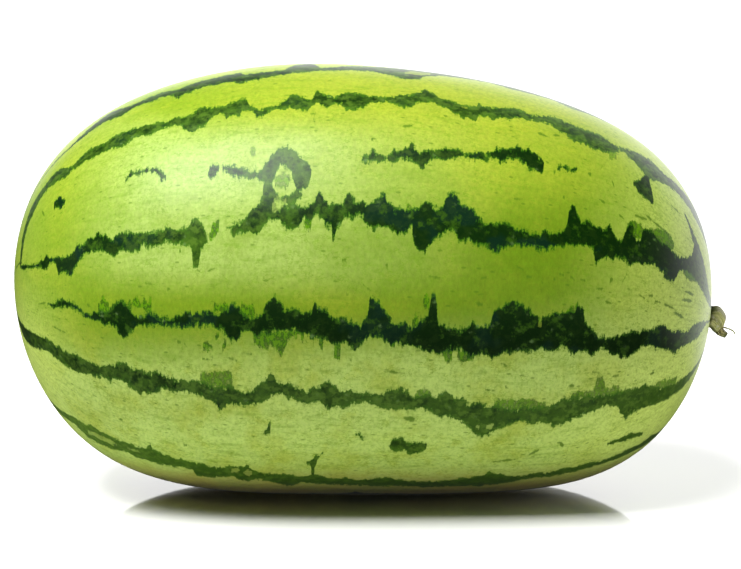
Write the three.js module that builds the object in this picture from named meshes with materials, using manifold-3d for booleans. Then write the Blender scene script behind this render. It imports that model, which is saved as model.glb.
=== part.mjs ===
// A whole oblong watermelon, as picked, with the dried stub of its stalk.
// Millimetres, +Z up. The origin is the middle of the small flat spot that the fruit rests on,
// and +X points from the blossom end to the stem end.
import * as THREE from "three";
import { mergeVertices } from "three/addons/utils/BufferGeometryUtils.js";
import Module from "manifold-3d";

// The fruit's shape: an ellipsoid, filled out and skewed a little by smooth terms
const HALF_LENGTH = 190; // from the middle to either end
const HALF_GIRTH = 117; // from the middle to either side
const END_FULLNESS = 0.31; // how much blunter both ends are than an ellipsoid's
const STEM_BLUNTNESS = 0.08; // the tip of the stem end is blunter still
const BLOSSOM_GIRTH = 0.06; // the blossom half is thicker by this share
const SHOULDER_DROP = 0.15; // the ends slope more above than below
const BELLY_SHIFT = 0.02; // and the belly hangs towards the blossom end
const END_SAG = 2.6; // the ends curve down below the middle
const POLE_DROP = 0.06; // stalk and blossom scar sit below the ends' middle, as a slope

// How it lies
const TILT = THREE.MathUtils.degToRad(2.7); // the stem end lies lower
const FLAT_DEPTH = 1.5; // what its weight presses flat
const GAP = 0.3; // between the fruit and the foot of its stalk

// The stalk's stub as pairs of points on its upper and lower edge, with its half width there:
// [out, up] from the middle of its foot, along and across the way the stem end faces
const STALK = [
  { upper: [0, 5.4], lower: [0, -5.0], halfWidth: 5.2 },
  { upper: [5.4, 6.1], lower: [2.0, -5.6], halfWidth: 5.6 },
  { upper: [9.8, 1.4], lower: [4.1, -7.3], halfWidth: 4.8 },
  { upper: [9.1, -3.6], lower: [5.7, -8.4], halfWidth: 3.2 },
  { upper: [9.5, -5.9], lower: [7.6, -9.2], halfWidth: 2.0 },
  { upper: [11.8, -7.9], lower: [10.9, -9.9], halfWidth: 1.1 },
];
const RIDGES = 5; // along the dried stub
const RIDGE_DEPTH = 0.06; // as a share of its thickness

// The dry thread that is left of a tendril, from inside the stub: [out, side, up]
const THREAD = [
  [7.6, 0, -4.4],
  [10.4, -0.4, -5.1],
  [13.0, -0.8, -5.4],
  [15.0, -0.6, -6.2],
  [16.1, 0, -7.7],
];
const THREAD_RADIUS = 0.4;

// How finely the solids are cut into facets
const RIND_SIDES = 64;
const RIND_ROWS = 48;
const STALK_SIDES = 20;
const STALK_STEPS = 18;
const THREAD_SIDES = 8;
const THREAD_STEPS = 9;

const sideways = new THREE.Vector3(0, 1, 0);
const wasm = await Module();
wasm.setup();

// A point of the rind, for a direction out of the fruit's middle with the stem end along +x
function rindPoint(x, y, z) {
  const facing = new THREE.Vector3(x, y, z - POLE_DROP).normalize();
  const along = facing.x;
  const fullness =
    1 - BLOSSOM_GIRTH * along + END_FULLNESS * along ** 2 + STEM_BLUNTNESS * along ** 3 +
    facing.z * (BELLY_SHIFT * along - SHOULDER_DROP * along ** 2);
  return new THREE.Vector3(
    HALF_LENGTH * along,
    HALF_GIRTH * fullness * facing.y,
    HALF_GIRTH * fullness * facing.z - END_SAG * along ** 2,
  ).applyAxisAngle(sideways, TILT);
}

// A closed body from rings of points, each ring counted the same way round the line from start to end
function skinRings(start, rings, end) {
  const sides = rings[0].length;
  const points = [start, ...rings.flat(), end];
  const pointAt = (ring, side) => 1 + ring * sides + (side % sides);
  const index = [];
  for (let side = 0; side < sides; side++) {
    index.push(0, pointAt(0, side + 1), pointAt(0, side));
    for (let ring = 0; ring < rings.length - 1; ring++) {
      const near = [pointAt(ring, side), pointAt(ring, side + 1)];
      const far = [pointAt(ring + 1, side), pointAt(ring + 1, side + 1)];
      index.push(near[0], near[1], far[1], near[0], far[1], far[0]);
    }
    const last = rings.length - 1;
    index.push(points.length - 1, pointAt(last, side), pointAt(last, side + 1));
  }
  const geometry = new THREE.BufferGeometry();
  const numbers = points.flatMap((point) => point.toArray());
  geometry.setAttribute("position", new THREE.Float32BufferAttribute(numbers, 3));
  geometry.setIndex(index);
  return geometry;
}

// One ring for each step, with its points at equal turns: pointAt(share along, turn in radians)
function ringsOf(steps, sides, pointAt) {
  const turns = Array.from({ length: sides }, (_, side) => (2 * Math.PI * side) / sides);
  return steps.map((share) => turns.map((turn) => pointAt(share, turn)));
}

function solidOf(geometry) {
  const bare = geometry.clone();
  bare.deleteAttribute("normal");
  bare.deleteAttribute("uv");
  const merged = mergeVertices(bare);
  return new wasm.Manifold(new wasm.Mesh({
    numProp: 3,
    vertProperties: merged.attributes.position.array,
    triVerts: new Uint32Array(merged.index.array),
  }));
}

function geometryOf(solid) {
  const mesh = solid.getMesh();
  const geometry = new THREE.BufferGeometry();
  geometry.setAttribute("position", new THREE.BufferAttribute(mesh.vertProperties, 3));
  geometry.setIndex(new THREE.BufferAttribute(mesh.triVerts, 1));
  return geometry;
}

// The whole fruit about its middle, with its facets in rows from pole to pole
function fruitGeometry() {
  const rows = Array.from({ length: RIND_ROWS - 1 }, (_, row) => (row + 1) / RIND_ROWS);
  const rings = ringsOf(rows, RIND_SIDES, (share, turn) => {
    const fromBlossom = Math.PI * share;
    const reach = Math.sin(fromBlossom);
    return rindPoint(-Math.cos(fromBlossom), reach * Math.cos(turn), reach * Math.sin(turn));
  });
  return skinRings(rindPoint(-1, 0, 0), rings, rindPoint(1, 0, 0));
}

// The same fruit with its lowest part pressed flat at the height floorZ
function restingGeometry(whole, floorZ) {
  const size = 4 * HALF_LENGTH;
  const below = new THREE.BoxGeometry(size, size, size);
  below.translate(0, 0, floorZ - size / 2);
  return geometryOf(solidOf(whole).subtract(solidOf(below)));
}

// The middle of the flat spot, along the fruit
function flatMiddle(geometry, floorZ) {
  const flat = new THREE.Box3();
  const point = new THREE.Vector3();
  const positions = geometry.attributes.position;
  for (let i = 0; i < positions.count; i++) {
    point.fromBufferAttribute(positions, i);
    if (Math.abs(point.z - floorZ) < 1e-3) flat.expandByPoint(point);
  }
  return flat.getCenter(new THREE.Vector3()).x;
}

// The dried stub, its foot at the origin and +x out of the fruit
function stubGeometry() {
  const edge = (name) => new THREE.CatmullRomCurve3(
    STALK.map((place) => new THREE.Vector3(place[name][0], 0, place[name][1])),
  );
  const widths = new THREE.CatmullRomCurve3(STALK.map((place) => new THREE.Vector3(place.halfWidth, 0, 0)));
  const [upper, lower] = [edge("upper"), edge("lower")];
  const middleAt = (share) => upper.getPoint(share).lerp(lower.getPoint(share), 0.5);
  const steps = Array.from({ length: STALK_STEPS + 1 }, (_, step) => step / STALK_STEPS);
  const rings = ringsOf(steps, STALK_SIDES, (share, turn) => {
    const middle = middleAt(share);
    const rise = upper.getPoint(share).sub(middle);
    const swell = 1 + RIDGE_DEPTH * Math.cos(RIDGES * turn);
    return middle
      .addScaledVector(sideways, widths.getPoint(share).x * swell * Math.cos(turn))
      .addScaledVector(rise, swell * Math.sin(turn));
  });
  return skinRings(middleAt(0), rings, middleAt(1));
}

// The dry thread: a thin bar along a curve
function threadGeometry() {
  const curve = new THREE.CatmullRomCurve3(THREAD.map((point) => new THREE.Vector3(...point)));
  const section = new THREE.Shape().absarc(0, 0, THREAD_RADIUS, 0, 2 * Math.PI);
  return new THREE.ExtrudeGeometry(section, {
    extrudePath: curve,
    steps: THREAD_STEPS,
    curveSegments: THREAD_SIDES,
    bevelEnabled: false,
  });
}

// Which way the stem end faces
function stemEndFacing() {
  const nudge = 1e-3;
  const upward = rindPoint(1, 0, nudge).sub(rindPoint(1, 0, -nudge));
  const across = rindPoint(1, nudge, 0).sub(rindPoint(1, -nudge, 0));
  return across.cross(upward).normalize();
}

const whole = fruitGeometry();
whole.computeBoundingBox();
const floorZ = whole.boundingBox.min.z + FLAT_DEPTH;

const melon = new THREE.Mesh(
  restingGeometry(whole, floorZ),
  new THREE.MeshStandardMaterial({ color: 0x8fb43a, roughness: 0.38, metalness: 0 }),
);
melon.name = "melon";

const stem = new THREE.Mesh(
  geometryOf(solidOf(stubGeometry()).add(solidOf(threadGeometry()))),
  new THREE.MeshStandardMaterial({ color: 0x7b7d45, roughness: 0.8, metalness: 0 }),
);
stem.name = "stem";
stem.position.copy(rindPoint(1, 0, 0)).addScaledVector(stemEndFacing(), GAP);
stem.quaternion.setFromUnitVectors(new THREE.Vector3(1, 0, 0), stemEndFacing());

const watermelon = new THREE.Group();
watermelon.name = "watermelon";
watermelon.add(melon, stem);
watermelon.position.set(-flatMiddle(melon.geometry, floorZ), 0, -floorZ);

export default watermelon;
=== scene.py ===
"""The watermelon's looks: a fine striped rind, the dried stalk, a white glossy table, soft light."""
import math

import bpy
import numpy as np
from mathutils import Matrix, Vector


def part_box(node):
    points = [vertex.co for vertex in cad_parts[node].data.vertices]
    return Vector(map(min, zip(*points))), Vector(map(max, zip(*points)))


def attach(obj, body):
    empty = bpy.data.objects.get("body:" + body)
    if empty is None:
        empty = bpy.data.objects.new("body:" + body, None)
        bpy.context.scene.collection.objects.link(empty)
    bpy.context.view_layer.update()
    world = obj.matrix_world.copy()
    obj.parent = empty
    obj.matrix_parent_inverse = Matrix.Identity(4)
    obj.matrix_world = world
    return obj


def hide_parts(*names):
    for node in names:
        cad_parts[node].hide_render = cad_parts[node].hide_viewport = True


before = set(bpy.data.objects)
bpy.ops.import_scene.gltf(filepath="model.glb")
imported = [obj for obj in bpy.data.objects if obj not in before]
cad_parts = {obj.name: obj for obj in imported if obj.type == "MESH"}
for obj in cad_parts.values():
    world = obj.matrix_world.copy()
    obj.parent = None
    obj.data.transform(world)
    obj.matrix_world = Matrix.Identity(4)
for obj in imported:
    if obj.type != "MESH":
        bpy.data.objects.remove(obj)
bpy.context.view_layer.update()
MM = 0.001

# The fruit's shape, in mm: the same smooth form as the solid's
HALF_LENGTH = 190
HALF_GIRTH = 117
END_FULLNESS = 0.31
STEM_BLUNTNESS = 0.08
BLOSSOM_GIRTH = 0.06
SHOULDER_DROP = 0.15
BELLY_SHIFT = 0.02
END_SAG = 2.6
POLE_DROP = 0.06
TILT = math.radians(2.7)
FLAT_DEPTH = 1.5

# The stalk's stub as its upper edge, its lower edge and its half width, each edge as [out, up] from
# the middle of its foot: the solid's, with a fuller tip
STALK = (
    ((0, 5.4), (0, -5.0), 5.2),
    ((5.4, 6.1), (2.0, -5.6), 5.6),
    ((9.8, 1.4), (4.1, -7.3), 4.8),
    ((9.1, -3.6), (5.7, -8.4), 3.2),
    ((9.8, -5.8), (7.2, -9.4), 2.2),
    ((12.1, -7.5), (10.7, -10.3), 1.4),
)
STALK_LENGTH = 17  # mm along its middle
STALK_REACH = 5  # about half its thickness: its colours and fibres go by it
STALK_SUNK = 1.4
STALK_RINGS = 90
STALK_SIDES = 72
BROKEN_END = ((0.7, 0.0), (0.55, 0.35), (0.35, 0.6))  # each ring's width as a share, and its depth

# What makes the stub look dried, each height as a share of its thickness, and places along it as
# shares of its length. FIBRES are (height, waves round it, twist along it).
RIDGES = 5
RIDGE_DEPTH = 0.06
FIBRES = ((0.028, 13, 3), (0.018, 23, -5))
FOLD_DEPTH = 0.055
FOLD_TURNS = 46  # radians of fold over the stub's length
FOLD_SWAY = 1.4
FOLD_MIDDLE = 0.66
FOLD_REACH = 0.2
COLLAR_SWELL = 0.1
COLLAR_REACH = 0.05
COLLAR_LOBES = 9
COLLAR_WAVE = 0.5

# The thread beside it as [out, side, up] from the same foot
THREAD = ((7.6, 0, -4.2), (10.4, -0.4, -4.6), (13.0, -0.8, -5.1), (15.0, -0.6, -6.1), (16.1, 0, -7.5))
THREAD_FIBRE = 11  # mm of fibre along it
THREAD_RADIUS = 0.45
THREAD_TAPER = 0.25
THREAD_KNOTS = (0.12, 31)  # how much thicker, and radians over its length
THREAD_WEAR = (0.3, 0.4)  # it is coloured like this stretch of the stub
THREAD_RINGS = 40
THREAD_SIDES = 12

# How finely the rind is cut: narrow steps along it keep the teeth of the stripes sharp
RIND_ROWS = 600
RIND_SIDES = 160

# Faint furrows along the rind, and dimples, each as (height in mm, waves along it, waves round it)
FURROW_DEPTH = 0.22
FURROWS = 13
FURROW_SWAY = 0.8
DIMPLES = ((0.16, 7.3, 3), (0.12, 11.7, -5))

# The view: its frame in pixels, and where the fruit's middle stands in it
VIEW_WIDTH = 741
VIEW_HEIGHT = 569
FRUIT_MIDDLE_PX = (363.4, 279.7)
PX_PER_MM = 1.828
CAMERA_DISTANCE = 1500
CAMERA_ELEVATION = math.radians(8.5)
SENSOR = 36
CLIP_END = 50

# The search for the rind along a line of sight: how far before and behind the fruit's middle, in mm
SEARCH = (-260, 120)
SEARCH_STEPS = 200
HALVINGS = 30

# Markings. Those on the seen side are drawn in the view's pixels, each as its upper and its lower
# edge from the blossom end on the left to the stem end on the right.
SKYLINE_UPPER = (
    (72, 145.5), (110, 113), (130, 106), (160, 93), (178, 89.5), (196, 82.5), (211, 78.8), (241, 73),
    (246, 75), (286, 70.6), (292, 67), (298, 65), (311, 63.8), (321, 69), (348, 66.5), (430, 70.5),
    (500, 83.5), (540, 93.5), (560, 101), (612, 124),
)
SKYLINE_LOWER = (
    (72, 147), (105, 122), (120, 116.5), (140, 104.5), (150, 102), (160, 97.5), (170, 95.5), (178, 98),
    (186, 93), (206, 86.5), (230, 82.3), (241, 83.5), (276, 76.3), (315, 71.5), (348, 70.6), (370, 71.3),
    (405, 79.5), (418, 80), (424, 77), (440, 76), (475, 80.5), (495, 84.5), (510, 89.5), (550, 99.5),
    (570, 108.5), (612, 125),
)
BROW_UPPER = (
    (20, 262), (22, 238), (26, 222), (31, 208), (36, 198.5), (57, 171), (60, 169), (70, 167.5), (75, 164),
    (85, 153), (90, 149.5), (105, 142.5), (115, 136), (140, 126), (155, 122.5), (160, 123), (165, 122),
    (175, 117.5), (188, 116), (201, 108), (220, 107), (242, 99), (248, 99.5), (249, 106), (253, 108),
    (266, 108), (283, 102), (291, 95.6), (299, 94.8), (308, 99), (313, 97.5), (316, 90), (323.5, 92),
    (327, 95), (336, 97.5), (341, 94), (347, 92.8), (353, 92.8), (378, 97), (392, 97), (400, 94),
    (408, 95.5), (426, 89.5), (440, 98), (450, 100), (457, 103.5), (477, 107), (479, 103), (482, 105),
    (495, 108), (503, 106), (515, 108), (535, 115.5), (545, 115.5), (553, 117), (566, 121.5), (587, 131),
    (600, 135.5), (617, 146.5), (637, 152.5), (650, 160), (665, 174.5), (675, 182), (682, 190),
    (695.5, 210), (700.5, 220), (704, 231),
)
BROW_LOWER = (
    (21.5, 262), (24.5, 238), (28.5, 224), (40, 200), (50, 187), (65, 178), (70, 172.5), (80, 166),
    (85, 160.5), (90, 159.5), (110, 149.5), (120, 147.5), (125, 145), (135, 137), (150, 135), (165, 128),
    (175, 125.5), (180, 125.5), (188, 132), (191, 132), (206, 124.5), (208.5, 120), (213.5, 116),
    (220, 113), (225, 115.5), (226, 121), (227.5, 116.5), (240, 115), (242, 111), (249, 110),
    (253, 112.5), (257, 117.5), (260, 118.8), (271, 110.6), (276, 109), (291, 108), (299, 110),
    (308, 110), (311, 106.3), (317, 103), (323.5, 106), (327, 109), (331, 105), (336, 104), (341, 105),
    (347, 109), (353, 110), (363, 109), (366, 105.5), (372, 103), (390, 103), (405, 109), (408, 107),
    (410, 109.5), (414, 104.5), (418, 102.5), (432, 102.5), (446, 107), (450, 111), (460, 115.5),
    (464, 118.5), (475, 121), (478, 117), (488, 116.5), (491, 120), (495, 120.5), (497, 118),
    (502, 117.5), (510, 120), (514, 118), (520, 117.5), (550, 124), (560, 132), (570, 137), (575, 141.5),
    (583, 143), (594, 149.5), (607, 153), (618, 151.5), (624, 152.5), (643, 172), (645, 177), (652, 180),
    (658, 181), (673, 189.5), (683.5, 200), (696, 220.5), (701, 231),
)
BROW_BLOT_UPPER = (
    (633, 183), (638, 180), (641, 178.5), (645, 174), (649, 176), (650, 183), (652, 191), (654, 201),
)
BROW_BLOT_LOWER = (
    (633, 184), (636, 187), (638, 192), (643, 195.5), (647.5, 200.5), (652, 204.5), (654, 202.5),
)
ARC_UPPER = ((125, 180), (130, 173), (140, 171), (155, 168), (160, 169.5), (165, 173), (167, 178))
ARC_LOWER = ((125, 182), (134, 174.5), (148, 171.5), (155, 173), (160, 179), (163, 180.5), (167, 180))
RING_CROWN_UPPER = (
    (221, 164.5), (225, 164), (235, 166), (250, 172), (258, 172), (263, 169), (271, 155), (279, 147),
    (288, 148), (300, 158), (308, 160), (311, 164), (311.5, 172),
)
RING_CROWN_LOWER = (
    (221, 170), (232, 175.5), (245, 178.5), (255, 178.5), (266, 184), (271, 183), (276, 174), (279, 163.5),
    (284, 165), (289, 167), (292, 173), (294, 184), (298, 193), (307, 188), (311.5, 173),
)
RING_FOOT_UPPER = (
    (261, 182), (266, 181), (272, 184), (275, 192), (280, 197), (288, 196), (294, 192), (297, 187),
    (301, 190), (303, 194),
)
RING_FOOT_LOWER = (
    (261, 200), (265, 206), (270, 205), (274, 200), (286, 205), (298, 200), (303, 196),
)
BROKEN_UPPER = (
    (359, 157), (366, 156), (370, 154), (373, 149), (375, 153), (382, 156), (386, 156.5), (390, 155.5),
    (392, 152), (396, 149), (400, 150.5), (406, 147.5), (409, 148.5), (411, 143.5), (413, 143.5),
    (415, 148), (419, 149.5), (433, 151.5), (446, 147), (452, 148), (462, 150.5), (467, 153),
    (470, 153.5), (474, 153), (480, 151), (484, 153.5), (490, 153), (494, 151), (497, 146.5),
    (500, 149.5), (512, 148.5), (517, 146.5), (525, 149.5), (529, 147.5), (532, 151), (537, 154),
    (543, 160), (544.5, 163),
)
BROKEN_LOWER = (
    (359, 158), (363, 162), (370, 163), (374, 161.5), (386, 160), (389, 161), (392, 164.5), (395, 161.5),
    (404, 158), (412, 160.5), (423, 167.5), (426, 165.5), (429, 160.5), (432, 158.5), (442, 161),
    (452, 158), (463, 157.5), (472, 160), (478, 157.5), (488, 161.5), (492, 158.5), (498, 160),
    (501, 165), (503, 160), (518, 159), (525, 164), (528, 168), (535, 171), (538, 169.5), (543, 173),
    (544.5, 168),
)
SHOULDER_LEFT_UPPER = (
    (20, 266), (25, 264), (28, 265), (35, 264), (44, 259), (46, 253), (48, 257), (54, 257.5), (66, 256.5),
    (72, 254.5), (75, 250.5), (77, 241.5), (79, 246), (83, 244.5), (90, 237.5), (94, 236), (99, 231),
    (101, 234.5), (106, 235), (109, 237), (111, 241), (114, 239), (116, 234.5), (121, 233), (146, 233),
    (164, 231.5), (167, 226.5), (178, 228.5), (190, 227.5), (191, 222.5), (195, 219), (203, 224.5),
    (208.5, 242),
)
SHOULDER_LEFT_LOWER = (
    (20, 268), (24, 270.5), (36, 267.5), (47, 269), (49, 264), (53, 262.5), (56, 263.5), (58, 277),
    (61, 273.5), (65, 272.5), (70, 274), (71, 276.5), (79, 260.5), (86, 254), (91, 252), (97, 250.5),
    (109, 251.5), (115.5, 258.5), (118, 254), (122, 250.5), (127, 249.5), (130, 252), (133, 248.5),
    (136, 250), (138, 254), (140, 252), (141, 246.5), (146, 245.5), (157, 248), (165, 243.5), (175, 243),
    (185, 243.5), (190, 246), (192.5, 253), (193, 265), (196, 267), (199.5, 264.5), (200, 252),
    (202, 248), (208.5, 244),
)
SHOULDER_UPPER = (
    (226, 226.5), (231, 226), (242, 221.5), (246, 218), (249, 213), (260, 203), (268, 190), (272, 191),
    (276, 206), (280, 208), (284, 203), (297, 206), (308, 205), (316, 200.5), (317, 190), (318, 188.5),
    (321, 191), (325, 200), (331, 205.5), (345, 201.5), (347, 197), (350, 194), (356, 201), (368, 202.5),
    (374, 201.5), (384, 192.5), (388, 201), (394, 208), (418, 209), (427, 201.5), (434, 207),
    (440, 208.5), (443, 206), (447, 195), (453, 192.5), (457, 195), (461, 204), (469, 207), (483, 221.5),
    (487, 223.5), (491, 222), (495, 224), (500, 221.5), (504, 223.5), (512, 225), (514, 228.5),
    (538, 234), (543, 232.5), (546, 228), (548, 231.5), (556, 233), (561, 230.5), (566, 229.5),
    (568.5, 211), (573, 204), (582, 221.5), (584, 220), (602, 228), (607, 227.5), (610, 224),
    (615, 236.5), (618, 240), (621, 239.5), (624, 235), (628, 223), (633, 224.5), (636, 240), (641, 239),
    (643, 229), (646, 228), (652, 230.5), (656, 238), (679, 257), (687, 258), (691, 256), (693, 251),
    (694.5, 240), (698, 243), (704, 262), (709, 292),
)
SHOULDER_LOWER = (
    (226, 228), (231, 231), (232, 236), (241, 232), (250, 232), (255, 235), (259, 233.5), (264, 224),
    (268, 220.5), (278, 221), (286, 228), (290, 230), (299, 226.5), (302, 224), (304, 220.5), (311, 219),
    (317, 216), (326, 226), (331, 230), (333.5, 243), (337, 229), (341, 227), (342, 221), (345, 217),
    (350, 215.5), (353, 218), (356, 216), (361, 215.5), (370, 227), (374, 229), (382, 226.5),
    (391, 228.5), (394, 230), (398, 235), (401, 232.5), (408, 231.5), (410, 226), (412, 228),
    (413.5, 240), (416, 247), (422, 252), (429, 247), (434, 238.5), (442, 236.5), (452, 231.5),
    (455, 233), (458, 240), (461, 242), (464, 240), (468, 239.5), (476, 245), (484, 246), (488, 251),
    (494, 252), (508, 246.5), (531, 245.5), (539, 251), (544, 251), (548, 249), (560, 246.5),
    (586, 245.5), (590, 247), (593, 250), (597, 267), (599, 262), (602, 258.5), (619, 258), (623, 259),
    (630, 266), (633, 263), (641, 265), (646, 264), (654, 265), (662, 272), (665, 278), (669, 281),
    (672, 279), (674, 282), (678, 271.5), (685, 271), (690, 273), (700, 287), (709, 306),
)
HAIR_UPPER = ((684, 212), (688, 220), (692, 229), (695, 236), (698, 244))
HAIR_LOWER = ((684, 213.5), (688, 224), (691, 234), (693, 243), (698, 250))
WAIST_UPPER = (
    (47, 303), (52, 304), (64, 298), (67, 300.5), (76, 303.5), (85, 313), (92, 315), (94, 310.5),
    (96, 312), (99, 310.5), (103, 311), (105, 314), (111, 308.5), (113, 304), (117, 301.5), (122, 301),
    (126, 303.5), (134, 315), (139, 317), (144, 315.5), (148, 312), (153, 313), (160, 318.5), (172, 319),
    (180, 314.5), (185, 313.5), (187, 308.5), (189, 313.5), (206, 311.5), (218, 314), (225, 310),
    (232, 303.5), (233, 299), (235, 304), (238, 306.5), (243, 315), (248, 317), (258, 317.5),
    (262, 314.5), (264, 308), (267, 303.5), (271, 302), (273, 296.5), (275, 295.5), (284, 309),
    (289, 310), (292, 307.5), (305, 313.5), (309, 313.5), (312, 311), (314, 307.5), (315, 300),
    (317, 307), (325, 307.5), (330, 315.5), (334, 318.5), (342, 316.5), (350, 322.5), (361, 324),
    (368, 313), (370, 297.5), (380, 302), (388, 318.5), (392, 322.5), (398, 325), (404, 323.5),
    (409, 326), (414, 327), (418, 324), (420, 319), (427, 316), (429.5, 311), (430, 297), (432, 294),
    (435, 294), (437, 315), (439, 322.5), (444, 326), (460, 329), (466, 328.5), (469, 326), (471, 317.5),
    (475, 326.5), (487, 325.5), (491, 322), (491.5, 315), (493, 311), (513, 301), (520, 303.5),
    (540, 320), (548, 314.5), (553, 312.5), (563, 313), (571, 312), (576, 309), (578, 303.5), (580, 306),
    (583, 305), (585, 322), (588, 326), (595, 332), (597, 336), (610, 338), (622, 334.5), (625, 330),
    (628, 334), (634, 329), (637, 331.5), (650, 329.5), (660, 325), (665, 326), (669, 330), (673, 331.5),
    (678, 330), (684, 332), (688, 331.5), (691, 327), (695, 324), (700, 321.5), (706, 321),
)
WAIST_LOWER = (
    (47, 304), (54, 308), (58, 307), (63, 308), (70, 306.5), (92, 320), (106, 325), (116, 326),
    (121, 336), (124, 339), (130, 331), (133, 331), (136, 327.5), (141, 326), (173, 326), (184, 327),
    (188, 330), (191, 327), (208, 324), (214, 325.5), (222, 330), (226, 333), (232, 341), (236, 341),
    (243, 333.5), (248, 331.5), (262, 334.5), (274, 333), (282, 330.5), (298, 330.5), (304, 332),
    (313, 338), (318, 340), (330, 341), (333, 346), (339, 346), (342, 343), (346, 343), (353, 349.5),
    (362, 344), (366, 339.5), (380, 337), (391, 344.5), (402, 344), (421, 349), (432, 353.5),
    (440, 353.5), (444, 351), (456, 350), (465, 350.5), (467, 355), (470, 358), (479, 354.5), (490, 357),
    (500, 357), (503, 352.5), (533, 351.5), (541, 349), (546, 349), (549, 352.5), (553, 352.5),
    (557, 350), (561, 345.5), (564, 346), (570, 354), (574, 355), (578, 351.5), (588, 352), (591, 357.5),
    (596, 351), (604, 349), (612, 354), (617, 353.5), (620, 356), (621, 360.5), (623, 357), (628, 358),
    (643, 346.5), (648, 345), (662, 350), (667, 349.5), (675, 353), (679, 348.5), (697, 338), (706, 324),
)
LOWER_UPPER = (
    (21, 322), (25, 327), (38, 335), (47, 338), (55, 345), (66, 352), (75, 355), (80, 358.5), (92, 363),
    (98, 367), (114, 364.5), (119, 362.5), (131, 368), (140, 370), (144, 373), (154, 373), (157, 369.5),
    (165, 375.5), (176, 380.5), (190, 381), (200, 379.5), (205, 384), (212, 386.5), (226, 388),
    (231, 386.5), (241, 393), (251, 391.5), (265, 380.5), (268, 376), (271, 374.5), (274, 376.5),
    (277, 381), (281, 383.5), (293, 385), (297, 388), (308, 391.5), (312, 388), (320, 387.5),
    (328, 379.5), (332, 384), (340, 389.5), (345, 391.5), (378, 394), (384, 392.5), (393, 388),
    (396, 391), (400, 387.5), (403, 390), (407, 390.5), (413, 398), (424, 395.5), (430, 395.5),
    (436, 398), (444, 393), (449, 392.5), (452, 395), (454, 399), (461, 398), (468, 403), (478, 402.5),
    (489, 407.5), (495, 406), (512, 410), (523, 407), (538, 407.5), (549, 406), (563, 398.5), (626, 391),
    (646, 384.5), (660, 388), (665, 387.5), (671, 385), (690, 372),
)
LOWER_LOWER = (
    (24, 337), (48, 350.5), (64, 365), (75, 371.5), (89, 374), (93, 377.5), (97, 378.5), (101, 376.5),
    (106, 378), (110, 382), (119, 379), (139, 393), (157, 393), (166, 388), (175, 392.5), (186, 391),
    (201, 396), (215, 403.5), (218, 408), (221, 410), (224, 407), (228, 405.5), (258, 404), (274, 395.5),
    (281, 395), (300, 400.5), (304, 404), (309, 404), (319, 401.5), (325, 407), (330, 409), (339, 406.5),
    (343, 408.5), (358, 402), (368, 402.5), (379, 407), (388, 409), (400, 408.5), (412, 410), (421, 408),
    (430, 411), (438, 417.5), (458, 419), (466, 424.5), (474, 434), (482, 437), (490, 433.5), (495, 430),
    (521, 419.5), (531, 424), (541, 421), (552, 426), (562, 424), (566, 421), (578, 417.5), (602, 406.5),
    (614, 405.5), (618, 408), (622, 416), (625, 419.5), (631, 414), (640, 409), (652, 405), (674, 394.5),
    (683, 387),
)
FOOT_UPPER = (
    (40, 387), (72, 415.5), (86, 425.5), (90, 424.5), (119, 441), (128, 443), (143, 448.5), (147, 448),
    (150, 443.5), (152, 449), (161, 454), (172, 458), (192, 463), (204, 464.5), (209, 467), (226, 467.5),
    (231, 466.5), (243, 466.5), (247, 464.5), (253, 469.5), (262, 472.5), (286, 474), (298, 476),
    (316, 474), (321, 476), (334, 478.5), (348, 477.5), (358, 480), (389, 477), (402, 480), (416, 481.5),
    (438, 481), (483, 475), (490, 471), (494, 473.5), (504, 474), (509, 476.5), (522, 476), (533, 473),
    (545, 472.5), (558, 470), (562, 468), (574, 467), (586, 463), (604, 459.5), (616, 455), (628, 448.5),
    (638, 445), (652, 435), (661, 430.5), (671, 422), (681, 408),
)
FOOT_LOWER = (
    (38, 389), (45, 399), (56, 409), (74, 422.5), (88, 436.5), (114, 449.5), (126, 451), (136, 457),
    (157, 463.5), (166, 465.5), (183, 467), (193, 471.5), (197, 475.5), (210, 477), (233, 476),
    (237, 478.5), (248, 481.5), (250, 479), (262, 479), (273, 481), (290, 486), (301, 482), (378, 486),
    (402, 485.5), (424, 487), (472, 486), (480, 487), (486, 485), (502, 484), (530, 478), (552, 476),
    (582, 469), (600, 463.5), (624, 455.5), (635, 450), (660, 434.5), (668, 427), (679, 412),
)

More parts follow.
